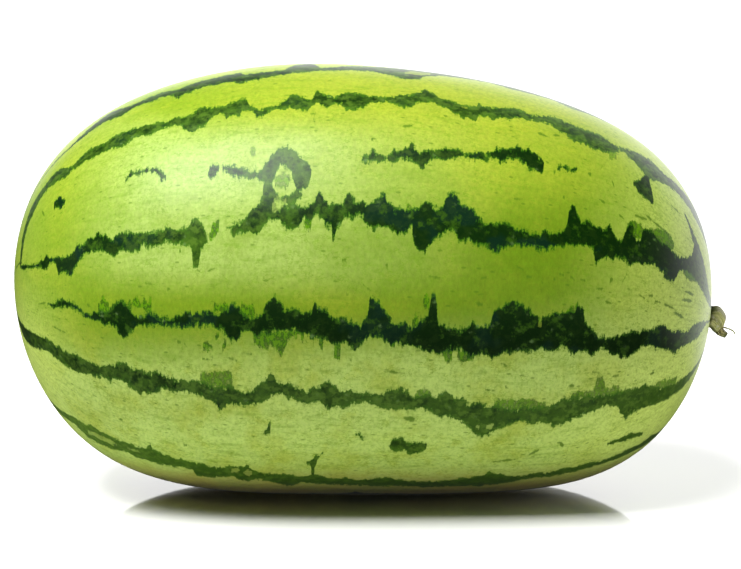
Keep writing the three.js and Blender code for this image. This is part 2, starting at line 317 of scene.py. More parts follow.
# Lone dark blots: (upper edge, lower edge)
BLOTS = {
    "left": (
        0.1,
        ((53, 205), (55, 200.5), (59, 197.5), (66, 198)),
        ((53, 208.5), (57, 208), (61, 209), (65, 204), (66, 200)),
    ),
    "below the arc": (
        0.1,
        ((207, 175), (210, 167.5), (213, 164), (220, 165)),
        ((207, 178), (211, 179), (215, 174), (220, 170)),
    ),
    "end of the broken stripe": (
        0.1,
        ((557, 168), (561, 165.5), (566, 163.5), (570, 167), (574, 168.5), (578, 168.5)),
        ((557, 171), (562, 168.5), (566, 171.5), (571, 172), (575, 171), (578, 169.5)),
    ),
    "triangle": (
        0.7,
        ((262, 433), (265, 431), (268, 428), (269, 424), (271, 420.5), (271.8, 424)),
        ((262, 434.5), (268, 434), (271.5, 434.5), (271.8, 426)),
    ),
    "cross": (
        0.7,
        ((355, 434), (358, 433.5), (359, 430.5), (361, 434), (366, 436)),
        ((355, 435), (360, 436.5), (362, 440), (364, 439), (366, 437)),
    ),
    "bow": (
        0.7,
        ((388, 446), (391, 443), (393, 439.5), (398, 438.5), (401, 436.5), (404, 439.5), (407, 442),
         (411, 444), (416, 443), (426, 443.5), (428.5, 445.5)),
        ((388, 447), (391, 450), (395, 452), (404, 450.5), (407, 453), (411, 455), (416, 454.5),
         (420, 452.5), (424, 450.5), (428.5, 446)),
    ),
    "leaf": (
        0.7,
        ((606, 444.5), (612, 441), (624, 436), (630, 433.5), (643, 432.5)),
        ((606, 445.5), (616, 443), (624, 441), (632, 438), (643, 434.5)),
    ),
    "twig": (
        0.7,
        ((305.5, 461.5), (311, 461), (313, 459), (319, 455.5), (322, 452.5), (325, 450.5)),
        ((305.5, 463), (309, 463.5), (311, 466), (311.5, 478), (314.5, 478), (316, 460.5), (319, 457.5),
         (322, 455), (325, 451.5)),
    ),
}

# Patches of half-grown stripe, mid green: (how faint, upper edge, lower edge)
PATCHES = (
    (
        0, ((208.5, 236), (211, 231), (213, 223.5), (219, 222.5), (220, 226)),
        ((208.5, 237), (211, 239.5), (215, 238.5), (219, 232), (220, 228)),
    ),
    (0, ((98, 305), (101, 302), (102, 295), (104, 296), (106, 301), (109, 303)), ((98, 312), (109, 314))),
    (
        0, ((124, 301), (134, 302), (135, 296), (138, 297), (139, 302), (142, 304), (143.5, 296.5),
         (145, 297), (146, 302), (149, 303), (150, 295), (152, 297)),
        ((124, 307), (130, 308), (134, 306), (140, 306.5), (145, 309.5), (152, 312)),
    ),
    (
        0, ((213, 308), (215, 303), (217, 307), (219, 305), (222, 302.5), (226, 301.5), (230, 303)),
        ((213, 313), (230, 313)),
    ),
    (
        0, ((240, 304), (242, 301.5), (243, 306), (247, 306.5), (253, 306), (255.5, 304)),
        ((240, 319), (255.5, 319)),
    ),
    (0, ((214, 337), (217, 333), (220, 333.5)), ((214, 339), (217, 340.5), (220, 337))),
    (0, ((222, 346), (225, 340), (228, 338.5)), ((222, 348), (226, 347.5), (228, 343))),
    (0, ((203, 346), (207, 341.5), (209, 343.5), (214, 343)), ((203, 348), (209, 348), (214, 347))),
    (
        0, ((253, 340), (256, 330), (304, 330)),
        ((253, 343.5), (257, 344.5), (262, 347), (264.5, 351.5), (268, 350.5), (270, 344), (275, 346),
         (277, 352), (281, 355.5), (284, 350), (286.5, 345), (284.5, 341), (290, 337.5), (300, 335),
         (303, 344), (306, 336)),
    ),
    (0, ((318, 336), (325, 336)), ((318, 344), (321, 351), (325, 350))),
    (0, ((332, 342), (342, 342)), ((333, 358), (338, 360), (341, 359), (342, 350))),
    (0, ((388, 338), (397, 338)), ((390, 346), (394, 348.5), (397, 346))),
    (0, ((441, 350), (453, 348)), ((442, 357), (446, 361), (451, 362), (453, 356))),
    (0, ((456, 352), (460, 349), (475, 352)), ((456, 359), (461, 364), (465, 360), (472, 362), (475, 358))),
    (0, ((410, 323), (413, 318), (416, 313.5), (419, 316)), ((410, 328), (419, 328))),
    (0, ((423, 298), (425, 294.5), (428, 295), (431, 297)), ((423, 303), (426, 309), (431, 313))),
    (0, ((490.5, 316), (494, 309), (500, 306)), ((490.5, 327), (500, 327))),
    (0, ((564, 311), (568, 307.5), (574, 307), (578, 304)), ((564, 315), (578, 315))),
    (0, ((405, 208), (408, 203.5), (411, 207)), ((405, 211), (411, 211))),
    (0, ((301, 220), (304, 216), (313, 214)), ((302, 225), (308, 229), (313, 228))),
    (
        0, ((626, 227), (628, 222.5), (632, 221.5), (640, 223), (645, 228), (650, 229), (658, 228),
         (664, 230.5), (670, 235), (674, 243)),
        ((626, 240), (650, 240), (657, 245), (663, 249), (670, 252), (674, 247)),
    ),
    (0, ((683, 266), (697, 266)), ((683, 273), (686, 279), (690, 281), (697, 281))),
    (0.35, ((607, 150), (616, 149)), ((608, 158), (613, 160), (616, 159))),
    (
        0.2, ((200, 373), (203, 371), (215, 372), (222, 370.5), (228, 371), (233.5, 374)),
        ((200, 386), (233.5, 391)),
    ),
    (
        0.2, ((570, 393), (585, 391), (595, 389.5), (597, 377), (603, 374), (606, 389), (612, 388),
         (614, 383.5), (618, 389), (626, 390)),
        ((570, 400), (626, 396)),
    ),
    (0.2, ((654, 386), (660, 381), (668, 379), (677, 377)), ((654, 391), (677, 386))),
    (0.2, ((492, 404), (500, 400), (515, 399), (530, 399), (546, 403)), ((492, 411), (546, 411))),
    (0.2, ((414, 396), (420, 388), (425, 387), (432, 394)), ((414, 400), (432, 400))),
    (0.35, ((249, 152), (252, 147), (256, 149)), ((249, 154), (253, 157), (256, 153))),
    (0.35, ((274, 176), (279, 173), (290, 174)), ((274, 185), (282, 189), (290, 186))),
)

# Gaps of pale rind inside the stripes: (upper edge, lower edge)
GAPS = (
    (((632, 234), (635, 230), (638, 230), (641, 233)), ((632, 236), (636, 239.5), (641, 236))),
    (((461, 107.2), (464, 106), (469, 107)), ((461, 108), (465, 109), (469, 108.5))),
    (((87, 430), (92, 431), (104, 437), (118, 444)), ((87, 432.5), (95, 436.5), (106, 442), (118, 446))),
    (((126, 447), (134, 449.5), (141, 452)), ((126, 448.3), (134, 451.5), (141, 453))),
    (((243, 471), (247, 468), (252, 471)), ((243, 473), (248, 476.5), (252, 474.5))),
    (((230, 470), (235, 469), (240, 470)), ((230, 472), (236, 473), (240, 472))),
    (((404, 72), (412, 71), (431, 73.5)), ((404, 74), (414, 75), (431, 75))),
    (((272, 203), (277, 198), (283, 199), (288, 199)), ((272, 210), (278, 212), (284, 207), (288, 204))),
    (((474, 427), (477, 424.5), (480, 426)), ((474, 429), (477, 430.5), (480, 429))),
    (((486, 427), (490, 425), (494, 423.5)), ((486, 428), (491, 427.5), (494, 425))),
    (((537, 323), (540, 320), (543, 324)), ((537, 325), (541, 327.5), (543, 326))),
)

# Short thin strokes on the ground: (start, end, thickness) in the view's pixels
STROKES = (
    ((41.5, 211), (45, 216), 4), ((536, 132), (548, 137), 3), ((552, 135), (561, 136), 1.6),
    ((566, 139), (573, 138), 1.6), ((588, 173), (592, 174.5), 2.6), ((611.5, 180), (615, 187), 2.4),
    ((562, 197), (566, 197.5), 2.6), ((599, 199), (606, 203), 2.6), ((545, 161), (550, 163), 2),
    ((442, 115), (449, 117), 2), ((401, 127), (413, 126), 1.6), ((371, 140), (375, 139.5), 1.4),
    ((311, 116), (313.5, 117), 1.8), ((315, 112), (317, 113.5), 1.6), ((324, 106.5), (327, 107.5), 1.8),
    ((313, 120), (316, 121), 1.4), ((319, 117), (320.5, 118), 1.4),
    ((275, 169), (279, 172), 2.6), ((283, 167.5), (288, 170), 2), ((287, 176), (291, 181), 2.4),
    ((273, 187), (279, 185), 2), ((283, 190), (289, 188), 2.4),
    ((513, 199), (523, 199), 2), ((619, 214), (625, 220), 3), ((634, 215), (648, 220), 2.4),
    ((645, 214), (653, 221), 3), ((651, 220), (671, 236), 2.6), ((670, 204), (680, 214), 1.8),
    ((341, 260), (347, 259.5), 2), ((354, 292), (356, 299), 3), ((346, 294), (350, 295), 1.6),
    ((362, 284), (371, 291), 2.2), ((385.5, 265), (389, 265), 5), ((396, 288), (398, 289), 4),
    ((427, 276), (441, 278), 1.8), ((479, 278), (488, 277.5), 2.2), ((456, 284), (458, 290), 1.6),
    ((474, 302), (483, 305), 3), ((509, 289), (513, 291), 2.4), ((515, 265), (524, 270), 1.8),
    ((525, 276), (532, 277.5), 2.2), ((541, 282), (545, 284), 4), ((558, 273), (566, 276), 1.8),
    ((570, 276), (576, 281), 2), ((580, 279), (587, 281), 1.8), ((553, 280), (557, 279), 2.2),
    ((609, 281), (614, 279), 3), ((595, 289), (604, 288.5), 1.8), ((622, 283), (628, 272), 1.4),
    ((638, 294), (646, 299), 2), ((648, 296), (654, 295.5), 2), ((605, 301), (613, 304), 1.8),
    ((654, 301), (662, 303), 2), ((664, 304), (675, 309), 1.8), ((684, 291), (695, 295), 3),
    ((681, 300), (693, 301), 3), ((674, 312), (684, 318), 4), ((144, 283), (155, 284.5), 1.8),
    ((166, 289), (171, 289.5), 1.8), ((52, 326), (66, 333), 1.6), ((177, 341), (182, 342), 2.4),
    ((184, 343), (188, 347), 3), ((188, 340), (191, 342), 4), ((226, 357), (238, 361), 2.2),
    ((241, 353), (253, 354.5), 2.4), ((303, 336), (308, 344), 2.2), ((311.5, 346), (314, 346), 6),
    ((349, 360), (353, 361), 3), ((383, 371.5), (405, 373.5), 1.8), ((491, 462), (519, 459), 1.5),
    ((528, 455), (540, 449.5), 2.2), ((556, 442.5), (563, 443), 1.8), ((559.5, 444), (564, 446), 4),
    ((403, 418), (416, 419), 4), ((484, 389.5), (496, 391), 1.8), ((504, 386), (509, 389), 2.4),
    ((182, 445), (188, 446), 3), ((118, 419), (123, 420), 2.4), ((203, 409.5), (206, 409.5), 3),
    ((279, 236), (281, 236), 5), ((178, 251), (182, 251.5), 2.4), ((136.5, 251), (140, 252), 4),
    ((552.5, 173), (556.5, 171), 5), ((558.5, 170), (561, 170), 6), ((600, 170), (602, 167), 2.4),
    ((86, 304), (92, 308), 2.2), ((38, 304), (46, 303), 1.8), ((500, 363), (508, 366), 1.8),
    ((592, 372), (602, 373), 1.4), ((612, 377), (620, 375.5), 1.4), ((650, 375), (655, 372), 1.6),
    ((567, 386), (575, 385), 2), ((206, 272), (215, 268), 1.8), ((195, 269), (201, 272), 1.8),
)

# Colours, as linear red, green and blue
# This colour is painted light: the top lighter and yellower than the flanks, as if lit from above
GROUND_TOP = (0.235, 0.288, 0.024)
GROUND_SIDE = (0.148, 0.23, 0.009)
# This colour is partly the underside's own paleness and partly painted light: bounce light and a reflection
# of the white floor
GROUND_BELLY = (0.34, 0.455, 0.1)
GROUND_YELLOW = (0.26, 0.31, 0.02)
GROUND_VEIN = (0.1, 0.2, 0.006)
# This colour is painted shade: the flanks darker and greener, most of all from the middle towards the stem
# end
GROUND_PAINTED_SHADE = (0.044, 0.104, 0.002)
# This colour is partly paler skin at the stem end and partly painted light falling from the right; on the low
# blossom end it is painted light only
GROUND_END = (0.49, 0.61, 0.125)
# This colour is a painted highlight: a broad pale patch on the upper left, where the key light shines off the
# rind
GROUND_PAINTED_HIGHLIGHT = (0.25, 0.345, 0.075)
FIELD_SPOT = (0.42, 0.36, 0.09)
STROKE_GREEN = (0.06, 0.13, 0.005)
PATCH_DEEP = (0.01, 0.055, 0.001)
PATCH_BRIGHT = (0.07, 0.18, 0.001)
STRIPE_DARK = (0.002, 0.014, 0.0006)
STRIPE_BLUISH = (0.002, 0.015, 0.005)
STRIPE_PALE = (0.034, 0.082, 0.005)
STRIPE_MARBLE = (0.018, 0.055, 0.002)
STRIPE_STIPPLE = (0.07, 0.14, 0.012)
STRIPE_END = (0.08, 0.16, 0.012)
STRIPE_RIM = (0.03, 0.11, 0.003)
STRIPE_FLECK = (0.13, 0.22, 0.07)
WAX_TINT = (0.95, 1.0, 0.95)
STEM_RING = (0.05, 0.11, 0.015)
SCAR = (0.2, 0.14, 0.06)
# This dark is also painted shade: under the stub, at its foot and where its skin dips in
STALK_DARK = (0.04, 0.055, 0.004)
STALK_OLIVE = (0.3, 0.33, 0.08)
STALK_TAN = (0.68, 0.65, 0.28)
# This grey is also painted light on the stub's top
STALK_GREY = (0.6, 0.58, 0.42)
STALK_BROWN = (0.5, 0.34, 0.12)
# This colour is painted shade in the hollow of the broken end
STALK_HOLLOW = (0.02, 0.016, 0.006)
FLOOR_WHITE = (0.82, 0.82, 0.82)

# Surfaces, with the depth of their finest relief in m, and the floor's size and place in m
RIND_GLOSS = 0.108
RIND_ROUGHNESS = 0.29
RIND_RELIEF = 0.00015
STALK_GLOSS = 0.3
STALK_RELIEF = 0.0004
FLOOR_ROUGHNESS = 0.06
FLOOR_SIZE = 12
FLOOR_PLACE = (0, 2, -0.0002)

# How far the edges of markings sway either way, in mm: hairs across the stripes, and nibbles
HAIRS = 1.9
NIBBLES = 2.4

# Where the ground changes. Each pair goes from where a change starts to where it is whole, in mm over
# the floor or in mm along the rind from the blossom end
# Where the top's painted light comes in; CROWN_LEFT takes most of it off again on the upper left
CROWN = (150, 222)
# Where the pale belly, partly painted bounce light from the floor, comes in
BELLY = (94, 60)
BELLY_RISE = 0.08  # per mm along: the pale belly reaches higher towards the stem end
CROWN_LEFT = (190, 218)
CROWN_LEFT_ALONG = (290, 170)
# The flanks' painted shade: how high it reaches, and where along the rind it grows and fades
FLANK_LOW = (80, 116)
FLANK_HIGH = (192, 146)
FLANK_DARKENS = (230, 370)
FLANK_ENDS = (500, 400)
# Where the pale stem end, partly painted light from the right, comes in
STEM_END = (365, 505)
STEM_END_LEAN = 0.2  # per mm up: the pale stem end starts farther on above
# Painted light on the low blossom end
LOW_TIP_ALONG = (150, 55)
LOW_TIP = (130, 70)
# Where the painted highlight lies on the upper left, along the rind and over the floor
PAINTED_HIGHLIGHT_ALONG = ((105, 190), (380, 230))
PAINTED_HIGHLIGHT_HEIGHT = ((118, 144), (216, 194))
FIELD = (30, 6)

# Where the stripes fade, in the same way, and the rings at the fruit's tips, in mm from them
FADE_STEM = (490, 550)
FADE_BLOSSOM = (60, 10)
FADE_LOW_ALONG = (190, 125)
FADE_LOW = (84, 68)
STEM_RING_REACH = (17, 8)
SCAR_REACH = (6.5, 4)

# Light. The world grows from FRONT_GLOW to BACK_GLOW over GLOW_REACH of
# y + GLOW_RIGHT * x + GLOW_ASIDE * x * x + GLOW_DOWN * z, for each direction (x, y, z) out of the
# fruit, but only as z + GLOW_FLOOR_LEAN * x rises through GLOW_FLOOR. What shines also mirrors a
# band of HORIZON_GLOW low in front: between the two changes of z in HORIZON, y through HORIZON_FRONT.
FRONT_GLOW = 0.05
BACK_GLOW = 2.4
GLOW_RIGHT = 0.5
GLOW_ASIDE = 0.1
GLOW_DOWN = -0.6
GLOW_REACH = (0.4, 0.8)
GLOW_FLOOR = (-0.45, 0.1)
GLOW_FLOOR_LEAN = 0.2
HORIZON_GLOW = 1.2
HORIZON = ((0.4, 0.15), (0.0, 0.03))
HORIZON_FRONT = (0.3, -0.1)
KEY_SIZE = (0.9, 0.7)
KEY_PLACE = (-0.5, -0.5, 1.5)
KEY_TARGET = (0, 0, 0.12)
KEY_POWER = 66

# How the markings are laid into the rind's mesh
ENTIRE = 2 * math.pi
OUTSIDE = -20.0  # mm: a marking's depth where it is out of reach
INSIDE = 4.8  # mm: and the most that it counts inside
POLE_TAPER = 0.5  # what is left of a stripe's width where it meets an end of the fruit
LEAST_STEP = 1e-6  # radians from a point of an edge to the next, at least
LENS_POINTS = 5  # of each edge of a thin stroke

# The stripes on the far side: where each runs round the fruit, in degrees up from the front, the
# stretch of the fruit it covers (0 is the blossom end, 1 the stem end), and half its width in mm
FAR_STRIPES = (
    (116, 0.0, 1.0, 5.0),
    (140, 0.22, 0.47, 3.6),
    (141, 0.54, 0.86, 4.4),
    (166, 0.0, 1.0, 6.5),
    (192, 0.07, 1.0, 5.4),
    (216, 0.0, 1.0, 6.2),
    (240, 0.0, 1.0, 4.2),
    (264, 0.14, 0.9, 3.4),
    (284, 0.0, 1.0, 3.2),
)
BEHIND_SKYLINE = (97, 0.25, 1, 5.5)  # one more, right at the skyline
FAR_SEED = 11

# How such a stripe grows. Waves are radians of wave for each radian along the fruit, and where there
# are a least and a most, each stripe or tooth draws its own
STRIPE_STEP = math.radians(0.35)
WANDER = (0.5, 2.2)  # mm, of each wave of its middle line
WANDER_WAVES = (1.5, 3.1, 5.3)
SWELLS = ((0.3, 4.3), (0.2, 9))  # each a share of its width, and waves along it
END_LENGTH = 0.2  # radians over which it widens from its end
END_POWER = 0.7
END_WIDTH = 0.5  # what is left of it where it runs on to an end of the fruit
LOBE = 1.2  # mm
LOBE_WAVES = (9, 13)
TOOTH = 4.5  # mm
TOOTH_SPACING = (1.6, 7.5)  # degrees
TOOTH_POWER = 1.6
TOOTH_SHARPNESS = 4
LONG_TEETH = 0.12  # a share of all teeth
LONG_TOOTH = (3, 11)  # mm more than the others
FAR_TONES = (0, 0.5)

# The small markings of the far side: how many, and their least and most length and height in mm
FAR_PATCHES = (34, (5, 16), (4, 9))
FAR_STROKES = (90, (2, 8), (0.8, 1.8))
FAR_REACH = (102, 282)  # degrees up from the front
FAR_SPOT_KEEPS = 0.35  # radians between small markings and the ends of the fruit
STRIPE_KEEPS = 0.06  # and between the far stripes and those ends
SPOT_APART = (0.17, 0.02)  # radians round the fruit, or along it, between two small markings
SPOT_POINTS = 9
SPOT_ROUGHNESS = (0.6, 1.4)


def unit(vectors):
    return vectors / np.linalg.norm(vectors, axis=-1, keepdims=True)


def ring_grid(along, sides):
    """For rings at places along a form, the place and the turn of each point, by ring and side."""
    return np.meshgrid(along, ENTIRE * np.arange(sides) / sides, indexing="ij")


def linked(name, data):
    """A new object of the scene."""
    piece = bpy.data.objects.new(name, data)
    bpy.context.scene.collection.objects.link(piece)
    return piece


def fullness(x, z):
    """How much wider than an ellipsoid the fruit is where it faces (x, ., z)."""
    ends = 1 - BLOSSOM_GIRTH * x + END_FULLNESS * x**2 + STEM_BLUNTNESS * x**3
    return ends + z * (BELLY_SHIFT * x - SHOULDER_DROP * x**2)


def rind_points(x, y, z):
    """Points of the rind in mm about the fruit's middle, for directions out of it; the stem end is +x."""
    z = z - POLE_DROP
    size = np.sqrt(x * x + y * y + z * z)
    x, y, z = x / size, y / size, z / size
    girth = HALF_GIRTH * fullness(x, z)
    px, py, pz = HALF_LENGTH * x, girth * y, girth * z - END_SAG * x**2
    c, s = math.cos(TILT), math.sin(TILT)
    return np.stack([c * px + s * pz, py, c * pz - s * px], axis=-1)


def grid_points(from_blossom, turn):
    """The rind at an angle from the blossom end, and a turn up from the front, both in radians."""
    reach = np.sin(from_blossom)
    return rind_points(-np.cos(from_blossom), -reach * np.cos(turn), reach * np.sin(turn))


# The rind's rings of points, from the blossom end to the stem end
ROW_ANGLES = np.pi * np.arange(1, RIND_ROWS) / RIND_ROWS
FROM_BLOSSOM, TURN = ring_grid(ROW_ANGLES, RIND_SIDES)
GRID = grid_points(FROM_BLOSSOM, TURN)
FLOOR_Z = GRID[..., 2].min() + FLAT_DEPTH
MIDDLE = np.array([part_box("melon")[0][0] / MM - GRID[..., 0].min(), 0.0, -FLOOR_Z])


def view_axes():
    """The eye about the fruit's middle, in mm, and the directions ahead, right and up in the view."""
    e = CAMERA_ELEVATION
    eye = np.array([0.0, -math.cos(e), math.sin(e)]) * CAMERA_DISTANCE
    aside = (VIEW_WIDTH / 2 - FRUIT_MIDDLE_PX[0]) / PX_PER_MM
    below = (VIEW_HEIGHT / 2 - FRUIT_MIDDLE_PX[1]) / PX_PER_MM
    aim = np.array([aside, -below * math.sin(e), -below * math.cos(e)])
    ahead = unit(aim - eye)
    right = unit(np.cross(ahead, [0, 0, 1]))
    return eye, ahead, right, np.cross(right, ahead)


def height_over_rind(points):
    """How far points stand out of the rind, across the fruit, and the way the rind faces below them."""
    c, s = math.cos(TILT), math.sin(TILT)
    x = np.clip((c * points[..., 0] - s * points[..., 2]) / HALF_LENGTH, -1, 1)
    y = points[..., 1]
    z = s * points[..., 0] + c * points[..., 2] + END_SAG * x**2
    out = np.maximum(np.hypot(y, z), 1e-9)
    reach = np.sqrt(1 - x**2)
    facing = np.stack([x, reach * y / out, reach * z / out], axis=-1)
    return out - HALF_GIRTH * reach * fullness(x, facing[..., 2]), facing


def on_rind(pixels):
    """Where the view's pixels fall on the rind: angles from the blossom end, and turns up from the front."""
    eye, ahead, right, up = view_axes()
    pixels = np.array(pixels, dtype=float)
    aside = (pixels[:, :1] - VIEW_WIDTH / 2) * right
    above = (VIEW_HEIGHT / 2 - pixels[:, 1:]) * up
    rays = unit(ahead * PX_PER_MM * CAMERA_DISTANCE + aside + above)
    steps = CAMERA_DISTANCE + np.linspace(*SEARCH, SEARCH_STEPS)
    heights, _ = height_over_rind(eye + rays[:, None] * steps[:, None])
    hit = heights < 0
    first = np.where(hit.any(axis=1), hit.argmax(axis=1), heights.argmin(axis=1))
    near, far = steps[np.maximum(first - 1, 0)], steps[first]
    near = np.where(hit.any(axis=1), near, far)
    for _ in range(HALVINGS):
        half = (near + far) / 2
        outside = height_over_rind(eye + rays * half[:, None])[0] > 0
        near, far = np.where(outside, half, near), np.where(outside, far, half)
    _, facing = height_over_rind(eye + rays * far[:, None])
    drop = facing[:, 2] * POLE_DROP
    size = np.sqrt(drop**2 + 1 - POLE_DROP**2) - drop
    x, y, z = size * facing[:, 0], size * facing[:, 1], size * facing[:, 2] + POLE_DROP
    return np.arccos(np.clip(-x, -1, 1)), np.arctan2(z, -y)


class Marking:
    """A dark, mid or pale form on the rind, between an upper and a lower edge.

    Each edge is a pair of lists: angles from the blossom end, and turns up from the front.
    tones are its paleness at either end, and to_ends says which ends of the fruit it runs on to.
    """

    def __init__(self, upper, lower, tones=(0, 0), to_ends=(False, False)):
        self.upper = self.forward(upper)
        self.lower = self.forward(lower)
        self.tones = tones
        self.to_ends = to_ends

    @staticmethod
    def forward(edge):
        """The edge with no point farther back along the fruit than the one before it."""
        along = np.maximum.accumulate(edge[0])
        return along + LEAST_STEP * np.arange(len(along)), edge[1]

    def edges_at(self, rows):
        """Its upper and lower turn and its tone at each row, with NaN where it isn't."""
        start = max(self.upper[0][0], self.lower[0][0])
        end = min(self.upper[0][-1], self.lower[0][-1])
        upper = np.interp(rows, *self.upper)
        lower = np.interp(rows, *self.lower)
        before = np.clip((start - rows) / start, 0, 1)
        after = np.clip((rows - end) / (math.pi - end), 0, 1)
        middle, half = (upper + lower) / 2, (upper - lower) / 2
        half = half * (1 - (1 - POLE_TAPER) * np.maximum(before, after))
        off = (before > 0) & (not self.to_ends[0]) | (after > 0) & (not self.to_ends[1])
        half[off] = np.nan
        tone = np.interp(rows, [start, end], self.tones)
        return middle, half, tone


def drawn(upper, lower, tones=(0, 0), to_ends=(False, False)):
    """A marking whose edges are given in the view's pixels."""
    return Marking(on_rind(upper), on_rind(lower), tones, to_ends)


def stroke(start, end, thickness):
    """A thin straight marking in the view, a lens between two of its pixels."""
    shares = np.linspace(0, 1, LENS_POINTS)
    x = start[0] + (end[0] - start[0]) * shares
    y = start[1] + (end[1] - start[1]) * shares
    order = np.argsort(x)
    half = thickness / 2 * np.sqrt(1 - (2 * shares - 1) ** 2)
    upper, lower = np.stack([x, y - half], axis=1)[order], np.stack([x, y + half], axis=1)[order]
    return drawn(upper, lower)


def ragged_edge(rng, along):
    """A stripe's edge as offsets in mm: rounded hollows between pointed teeth, some of them long."""
    teeth = [along[0]]
    while teeth[-1] < along[-1]:
        teeth.append(teeth[-1] + math.radians(rng.uniform(*TOOTH_SPACING)))
    heights = TOOTH * rng.random(len(teeth)) ** TOOTH_POWER
    tall = rng.random(len(teeth)) < LONG_TEETH
    heights[tall] += rng.uniform(*LONG_TOOTH, tall.sum())
    at = np.clip(np.searchsorted(teeth, along) - 1, 0, len(teeth) - 2)
    teeth = np.array(teeth)
    share = (along - teeth[at]) / (teeth[at + 1] - teeth[at])
    before, after = (1 - share) ** TOOTH_SHARPNESS, share**TOOTH_SHARPNESS
    hollow = LOBE * np.sin(along * rng.uniform(*LOBE_WAVES) + rng.uniform(0, ENTIRE))
    return hollow + heights[at] * before + heights[at + 1] * after


def far_stripe(rng, degrees, start, end, half_width):
    """A stripe of the far side, grown by rule in the manner of the drawn ones."""
    first = max(start * math.pi, STRIPE_KEEPS)
    last = min(end * math.pi, math.pi - STRIPE_KEEPS)
    along = np.arange(first, last, STRIPE_STEP)
    wander = sum(rng.uniform(*WANDER) * np.sin(along * k + rng.uniform(0, ENTIRE)) for k in WANDER_WAVES)
    swell = 1 + sum(share * np.sin(along * k + rng.uniform(0, ENTIRE)) for share, k in SWELLS)
    ends = np.clip(np.minimum(along - first, last - along) / END_LENGTH, 0, 1) ** END_POWER
    for runs_on, here in ((start == 0, along < math.pi / 2), (end == 1, along > math.pi / 2)):
        if runs_on:
            ends = np.where(here, END_WIDTH + (1 - END_WIDTH) * ends, ends)
    above = (half_width * swell + ragged_edge(rng, along)) * ends
    below = (half_width * swell + ragged_edge(rng, along)) * ends
    turn = math.radians(degrees)
    upper = along, turn + (wander + above) / HALF_GIRTH
    lower = along, turn + (wander - below) / HALF_GIRTH
    return Marking(upper, lower, (rng.uniform(*FAR_TONES), rng.uniform(*FAR_TONES)), (start == 0, end == 1))


def far_spots(rng, count, length, height):
    """Small scattered markings of the far side, kept apart from one another."""
    spots, taken = [], []
    apart_round, apart_along = SPOT_APART
    while len(spots) < count:
        along = rng.uniform(FAR_SPOT_KEEPS, math.pi - FAR_SPOT_KEEPS)
        turn = math.radians(rng.uniform(*FAR_REACH))
        half = rng.uniform(*length) / 2 / HALF_LENGTH
        if any(abs(turn - t) < apart_round and abs(along - a) < half + h + apart_along for a, t, h in taken):
            continue
        taken.append((along, turn, half))
        shares = np.linspace(-1, 1, SPOT_POINTS)
        round_off = np.sqrt(1 - shares**2) * rng.uniform(*height) / 2 / HALF_GIRTH
        slant = rng.uniform(-1, 1) * height[0] / HALF_GIRTH
        rough = rng.uniform(*SPOT_ROUGHNESS, (2, SPOT_POINTS))
        upper = along + half * shares, turn + slant * shares + round_off * rough[0]
        lower = along + half * shares, turn + slant * shares - round_off * rough[1]
        spots.append(Marking(upper, lower))
    return spots


def marking_layers():
    """The markings by layer: those of one layer lie well apart wherever they pass each other."""
    on = (True, True)
    rng = np.random.default_rng(FAR_SEED)
    far = [far_stripe(rng, *stripe) for stripe in FAR_STRIPES]
    behind_skyline = far_stripe(rng, *BEHIND_SKYLINE)
    blots = {name: drawn(upper, lower, (tone, tone)) for name, (tone, upper, lower) in BLOTS.items()}
    dark_0 = [
        drawn(SKYLINE_UPPER, SKYLINE_LOWER, (0.3, 0.6), (True, False)),
        drawn(ARC_UPPER, ARC_LOWER, (0.2, 0.2)),
        drawn(BROKEN_UPPER, BROKEN_LOWER, (0.5, 0)),
        drawn(WAIST_UPPER, WAIST_LOWER, (0, 0.1), (False, True)),
        drawn(FOOT_UPPER, FOOT_LOWER, (1.0, 1.3), on),
    ]
    dark_1 = [
        drawn(BROW_UPPER, BROW_LOWER, (0.5, 0.6), on),
        # These two stripes grow paler towards where they meet on the upper left: painted highlight on the
        # stripe
        drawn(SHOULDER_LEFT_UPPER, SHOULDER_LEFT_LOWER, (-0.5, 0.7)),
        drawn(SHOULDER_UPPER, SHOULDER_LOWER, (0.55, -1.0), (False, True)),
        drawn(LOWER_UPPER, LOWER_LOWER, (0.4, 1.0), on),
    ]
    dark_2 = [
        behind_skyline,
        drawn(BROW_BLOT_UPPER, BROW_BLOT_LOWER, (0.3, 0.3)),
        drawn(RING_CROWN_UPPER, RING_CROWN_LOWER, (0.4, 0.6)),
        drawn(HAIR_UPPER, HAIR_LOWER, (0.5, 0.5)),
        blots["left"], blots["triangle"], blots["cross"], blots["bow"], blots["leaf"],
    ]
    dark_3 = [
        drawn(RING_FOOT_UPPER, RING_FOOT_LOWER, (0.6, 0.6)),
        blots["below the arc"], blots["end of the broken stripe"], blots["twig"],
    ]
    patches = [drawn(upper, lower, (faint, faint)) for faint, upper, lower in PATCHES]
    strokes = [stroke(*ends) for ends in STROKES]
    pale = [drawn(*edges) for edges in GAPS]
    return {
        "dark_0": dark_0 + far[1::2],
        "dark_1": dark_1 + far[0::2],
        "dark_2": dark_2,
        "dark_3": dark_3,
        "mid_0": patches[0::2] + far_spots(rng, *FAR_PATCHES),
        "mid_1": patches[1::2],
        "stroke_0": strokes[0::2] + far_spots(rng, *FAR_STROKES),
        "stroke_1": strokes[1::2],
        "pale": pale,
    }


